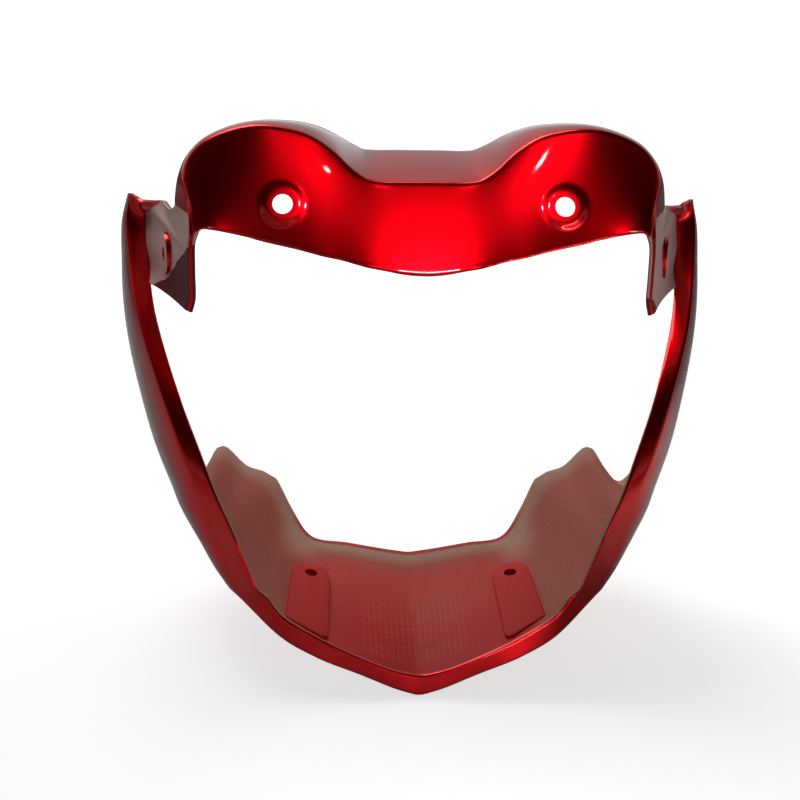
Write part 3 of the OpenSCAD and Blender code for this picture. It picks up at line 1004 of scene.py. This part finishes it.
@dataclass(frozen=True)
class DustedPlastic:
    """Dull moulded plastic with specks of red and of dark, on which each place has its own coats of paint."""

    name: str = "dusted_plastic"
    deep: Colour = colour(210, 8, 16)
    dark: Colour = colour(92, 30, 28)
    specks_per_m: float = 1500.0
    speck_levels: Span = (0.42, 0.60)
    # Cover of the red specks on plastic without and, added to it, with paint
    speck_cover: Span = (0.15, 0.35)
    darks_per_m: float = 900.0
    dark_levels: Span = (0.5, 0.68)
    dark_cover: float = 0.30
    roughness: float = 0.66
    paint_gloss: float = 0.14
    grain_per_m: float = 1300.0

    def coats(self, tree: ShaderTree) -> tuple[bpy.types.NodeSocket, Number]:
        """Lays the coats of this place.

        Args:
            tree: The material's nodes.

        Returns:
            The colour, and how much paint covers the plastic.
        """
        raise NotImplementedError

    def material(self) -> bpy.types.Material:
        """Builds the material.

        Returns:
            The plastic with its coats, specks and fine grain.
        """
        made, tree = new_material(self.name)
        speck = tree.noise(self.specks_per_m, 3.0, 0.75).between(*self.speck_levels)
        dark = tree.noise(self.darks_per_m, 3.0, 0.8).between(*self.dark_levels)
        base, density = self.coats(tree)
        bare_cover, paint_cover = self.speck_cover
        base = tree.mix(speck * (bare_cover + paint_cover * density), base, self.deep)
        base = tree.mix(dark * self.dark_cover, base, self.dark)
        grain = {"Strength": 0.25, "Distance": 0.0004, "Height": tree.noise(self.grain_per_m, 3.0, 0.7)}
        inputs = {
            "Base Color": base,
            "Roughness": self.roughness - self.paint_gloss * density,
            "Specular IOR Level": 0.25,
            "Normal": tree.node("ShaderNodeBump", None, grain).outputs[0],
        }
        tree.finish("ShaderNodeBsdfPrincipled", inputs)
        return made


@dataclass(frozen=True)
class Overspray(DustedPlastic):
    """The inner side: grey-beige plastic with an uneven dust of red, and a scribed grid on the chin's floor.

    A span is in metres, from where a coat starts to where it is full. It is measured from the rear edge, from
    the front rim, or from the middle plane for x; for z it is a height.
    """

    name: str = "overspray"
    plastic: Colour = colour(188, 156, 136)
    dusted: Colour = colour(176, 102, 90)
    heavy: Colour = colour(214, 56, 46)
    edge: Colour = colour(190, 30, 34)
    line: Colour = colour(235, 130, 116)
    clouds_per_m: float = 30.0
    low_z: Span = (-0.105, -0.085)
    middle_x: Span = (0.040, 0.075)
    dusted_rear: Span = (0.004, 0.014)
    corner_x: tuple[Span, Span] = ((0.048, 0.060), (0.064, 0.078))
    corner_rear: Span = (0.012, 0.034)
    heavy_rear: Span = (0.008, 0.024)
    heavy_rim: Span = (0.007, 0.016)
    deep_rim: Span = (0.030, 0.085)
    strip_rim: Span = (0.0085, 0.0115)
    edge_rear: Span = (0.0034, 0.0042)
    edge_x: Span = (0.060, 0.075)
    scribe_gap: float = 0.0030
    scribe_row: float = 0.0050
    scribe_width: float = 0.00045
    scribe_x: Span = (0.024, 0.032)
    scribe_rim: tuple[Span, Span] = ((0.018, 0.026), (0.060, 0.090))

    def scribed(self, tree: ShaderTree, x: Number, rim: Number) -> Number:
        """Draws the fine scribed grid in the middle of the chin's floor.

        Args:
            tree: The material's nodes.
            x: Place across the cowl.
            rim: Distance from the front rim.

        Returns:
            How strongly a line shows.
        """
        across = 1 - x.wrapped(self.scribe_gap).between(0.0, self.scribe_width)
        along = 1 - rim.wrapped(self.scribe_row).between(0.0, self.scribe_width)
        starts, ends = self.scribe_rim
        patch = (1 - x.absolute().between(*self.scribe_x)) * rim.between(*starts) * (1 - rim.between(*ends))
        worn = tree.noise(120.0, 2.0).between(0.35, 0.6)
        return across.biggest(along) * patch * (0.35 + 0.65 * worn)

    def coats(self, tree: ShaderTree) -> tuple[bpy.types.NodeSocket, Number]:
        """Lays dust all over, and heavy paint on the chin's floor but for its edges.

        Args:
            tree: The material's nodes.

        Returns:
            The colour, and how much paint covers the plastic.
        """
        x, _, z = tree.axes()
        side = x.absolute()
        rear = tree.number("ShaderNodeAttribute", "Fac", {"attribute_name": "rear_gap"})
        rim = tree.number("ShaderNodeAttribute", "Fac", {"attribute_name": "rim_gap"})
        cloud = tree.noise(self.clouds_per_m, 3.0)
        low = 1 - z.between(*self.low_z)
        inside, outside = self.corner_x
        corner = side.between(*inside) * (1 - side.between(*outside)) * low
        clean = 1 - rear.between(*self.dusted_rear) * (1 - corner * (1 - rear.between(*self.corner_rear)))
        middle = (1 - side.between(*self.middle_x)) * low
        density = middle * (rear.between(*self.heavy_rear) * rim.between(*self.heavy_rim))
        deep = density * (1 - rim.between(*self.deep_rim)) * (0.8 + 0.4 * cloud)
        edge = (1 - rear.between(*self.edge_rear)) * 0.85 * low * (1 - side.between(*self.edge_x))
        base = tree.mix(clean * (0.75 + 0.25 * low), self.dusted, self.plastic)
        base = tree.mix(density * (0.6 + 0.4 * cloud), base, self.heavy)
        base = tree.mix(deep, base, self.deep)
        base = tree.mix(0.5 * self.scribed(tree, x, rim), base, self.line)
        base = tree.mix(0.8 * (1 - rim.between(*self.strip_rim)), base, self.plastic)
        return tree.mix(edge, base, self.edge), density


@dataclass(frozen=True)
class PadOverspray(DustedPlastic):
    """The raised pads on the chin's floor, under heavy overspray."""

    name: str = "overspray_on_pads"
    heavy: Colour = colour(214, 56, 46)
    clouds_per_m: float = 30.0

    def coats(self, tree: ShaderTree) -> tuple[bpy.types.NodeSocket, Number]:
        """Lays one cloudy coat all over."""
        cloud = tree.noise(self.clouds_per_m, 3.0)
        return tree.mix(0.35 + 0.35 * cloud, self.heavy, self.deep), 0.7 * cloud


@dataclass(frozen=True)
class EarReflectionAndSpecks(DustedPlastic):
    """The flat sides of the ears with a painted reflection: beige for the white surroundings, and maroon for
    the dark on the lower front corner, up to an uneven line.
    """

    name: str = "ear_sides_painted_reflection"
    # Painted reflection: beige stands for the white surroundings and maroon for the dark, mirrored in the
    # glossy ear sides
    ear_reflection: Colour = colour(212, 174, 166)
    dark_reflection: Colour = colour(74, 8, 22)
    speck_cover: Span = (0.03, 0.07)
    # Large dark blotches: a painted reflection of dark things nearby
    darks_per_m: float = 260.0
    dark_levels: Span = (0.60, 0.68)
    # Height up to which the left ear's painted reflection of the dark reaches at its front, and how much
    # lower that is on the right
    corner_z: float = 0.083
    right_lower: float = 0.026
    front_y: float = -0.028
    steepness: float = 1.5
    waviness: float = 0.010
    # Width of the edge of the maroon painted reflection
    dark_edge: float = 0.0012

    def coats(self, tree: ShaderTree) -> tuple[bpy.types.NodeSocket, Number]:
        """Lays the maroon of the painted reflection on the lower front corner, more on the left ear than on
        the right.

        Args:
            tree: The material's nodes.

        Returns:
            The colour, and how much of the maroon covers the beige.
        """
        x, y, z = tree.axes()
        right = x.between(-0.01, 0.01)
        wavy = self.waviness * (tree.noise(60.0, 3.0, 0.55) - 0.5)
        corner = (self.corner_z - self.right_lower * right - z) * self.steepness - (y - self.front_y) + wavy
        density = corner.between(0.0, self.dark_edge)
        return tree.mix(density, self.ear_reflection, self.dark_reflection), density


def hang(data: bpy.types.Light, spot: Vector, back: Vector) -> None:
    """Hangs a light.

    Args:
        data: The light.
        spot: Where it hangs, in metres.
        back: Direction out of its back, away from what it lights.
    """
    made = bpy.data.objects.new(data.name, data)
    made.matrix_world = Matrix.Translation(spot) @ back.to_track_quat("Z", "Y").to_matrix().to_4x4()
    bpy.context.scene.collection.objects.link(made)


@dataclass(frozen=True)
class SoftLamp:
    """A soft rectangular lamp that faces the middle of the cowl. Lengths are in metres."""

    name: str
    towards: Point
    far: float
    size: Span
    watts: float

    def build(self) -> None:
        """Hangs the lamp."""
        data = bpy.data.lights.new(self.name, "AREA")
        data.shape, data.energy = "RECTANGLE", self.watts
        data.size, data.size_y = self.size
        back = Vector(self.towards).normalized()
        hang(data, back * self.far, back)


@dataclass(frozen=True)
class Snoot:
    """A round lamp in a snoot, whose beam falls on one spot and fades at its edge. Lengths are in metres."""

    name: str
    spot: Point
    aim: Point
    radius: float
    watts: float
    spread_deg: float
    blend: float = 0.8

    def build(self) -> None:
        """Hangs the lamp."""
        data = bpy.data.lights.new(self.name, "SPOT")
        data.shadow_soft_size, data.energy = self.radius, self.watts
        data.spot_size, data.spot_blend = math.radians(self.spread_deg), self.blend
        hang(data, Vector(self.spot), (Vector(self.spot) - Vector(self.aim)).normalized())


@dataclass
class Studio:
    """Camera, lamps, white surroundings and floor.

    The camera's target and distance are in the guide points' millimetres; all else is in metres.
    """

    target: Point = (-11.5, 0.0, -79.1)
    distance: float = 900.0
    yaw_deg: float = -3.49
    elevation_deg: float = 20.0
    roll_deg: float = 1.44
    lens_mm: float = 80.28
    sensor_mm: float = 36.0
    lamps: tuple[SoftLamp | Snoot, ...] = (
        Snoot("front_strobe", (0.040, -0.40, 0.345), (0.008, -0.031, 0.085), 0.0158, 1.9, 30.0),
        SoftLamp("chin_fill", (0.45, -0.80, -0.09), 0.92, (0.6, 0.06), 1.2),
        Snoot("floor_front", (0.10, -0.95, 0.90), (0.06, -0.44, -0.14), 0.10, 34.0, 24.0),
        Snoot("floor_right", (0.95, 0.15, 1.00), (0.46, 0.06, -0.14), 0.10, 50.0, 24.0),
        SoftLamp("top_soft", (-0.35, 0.45, 1.0), 1.3, (0.9, 0.7), 8.5),
        Snoot("left_spark", (0.108, -0.888, 0.926), (-0.053, -0.016, 0.114), 0.024, 0.95, 1.9),
        Snoot("right_spark", (0.097, -0.959, 0.862), (0.062, -0.014, 0.119), 0.024, 0.95, 1.9),
    )
    # Strength of the world all round, behind the cowl and near the ground
    world_levels: Point = (0.01, 0.75, 0.30)
    behind_y: Span = (-0.08, 1.0)
    sweep_z: Span = (0.05, 0.30)
    floor_z: float = -0.1402
    floor_half: float = 6.0
    floor_colour: Colour = (0.6, 0.6, 0.6, 1.0)
    # Glow of the floor in the picture near the cowl and what is added far away, and the squared distances
    glow_levels: Span = (0.70, 0.3)
    glow_far: Span = (0.06, 0.6)

    def camera(self) -> None:
        """Sets up the camera at the photograph's viewing angle."""
        a, e, r = (math.radians(v) for v in (self.yaw_deg, self.elevation_deg, self.roll_deg))
        back = Vector((math.sin(a) * math.cos(e), -math.cos(a) * math.cos(e), math.sin(e)))
        right = Vector((math.cos(a), math.sin(a), 0))
        up = back.cross(right)
        turned_right = math.cos(r) * right + math.sin(r) * up
        turned_up = math.cos(r) * up - math.sin(r) * right
        data = bpy.data.cameras.new("camera")
        data.sensor_width, data.lens = self.sensor_mm, self.lens_mm
        data.clip_start, data.clip_end = 0.01, 20.0
        made = bpy.data.objects.new("camera", data)
        axes = Matrix((turned_right, turned_up, back)).transposed()
        spot = placed(np.array(self.target)) + back * self.distance * MM
        made.matrix_world = Matrix.Translation(spot) @ axes.to_4x4()
        bpy.context.scene.collection.objects.link(made)
        bpy.context.scene.camera = made

    def surroundings(self) -> None:
        """Makes the world: white behind and beside the cowl, dim in front of it."""
        world = bpy.data.worlds.new("studio")
        bpy.context.scene.world = world
        world.use_nodes = True
        tree = ShaderTree(world.node_tree)
        camera = tree.number("ShaderNodeLightPath", "Is Camera Ray")
        sky = tree.node("ShaderNodeTexCoord").outputs["Generated"]
        way = tree.node("ShaderNodeSeparateXYZ", None, {0: sky})
        behind = Number(tree, way.outputs[1]).between(*self.behind_y, smooth=False)
        sweep = 1 - Number(tree, way.outputs[2]).between(*self.sweep_z)
        all_round, at_back, near_ground = self.world_levels
        level = all_round + at_back * behind * behind + near_ground * sweep
        inputs = {"Color": (1.0, 1.0, 1.0, 1.0), "Strength": level.biggest(camera)}
        tree.finish("ShaderNodeBackground", inputs, "ShaderNodeOutputWorld")

    def floor(self) -> None:
        """Lays the pale floor."""
        bm = bmesh.new()
        bmesh.ops.create_grid(bm, x_segments=1, y_segments=1, size=self.floor_half)
        bmesh.ops.translate(bm, verts=bm.verts, vec=(0, 0, self.floor_z))
        made, tree = new_material("floor")
        camera = tree.number("ShaderNodeLightPath", "Is Camera Ray")
        x, y, _ = tree.axes()
        near, added = self.glow_levels
        strength = (near + added * (x * x + y * y).between(*self.glow_far)) * camera
        shader = tree.node("ShaderNodeBsdfDiffuse", None, {"Color": self.floor_colour})
        glow = tree.node("ShaderNodeEmission", None, {"Strength": strength})
        tree.finish("ShaderNodeAddShader", {0: shader.outputs[0], 1: glow.outputs[0]})
        to_object(bm, "floor", [made])

    def build(self) -> None:
        """Sets the whole studio up."""
        self.camera()
        self.surroundings()
        self.floor()
        for lamp in self.lamps:
            lamp.build()
        bpy.context.scene.view_settings.view_transform = "Standard"
        log.info("studio: camera, floor and %d lamps", len(self.lamps))


def main() -> None:
    """Sets up the studio, then builds the cowl and dresses it."""
    logging.basicConfig(level=logging.INFO)
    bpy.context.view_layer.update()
    Studio().build()
    finishes = {
        Skin.PAINT: CandyPaint(),
        Skin.OVERSPRAY: Overspray(),
        Skin.PAD: PadOverspray(),
        Skin.EAR: EarReflectionAndSpecks(),
    }
    Cowl([finishes[skin].material() for skin in Skin]).build()


if __name__ == "__main__":
    main()
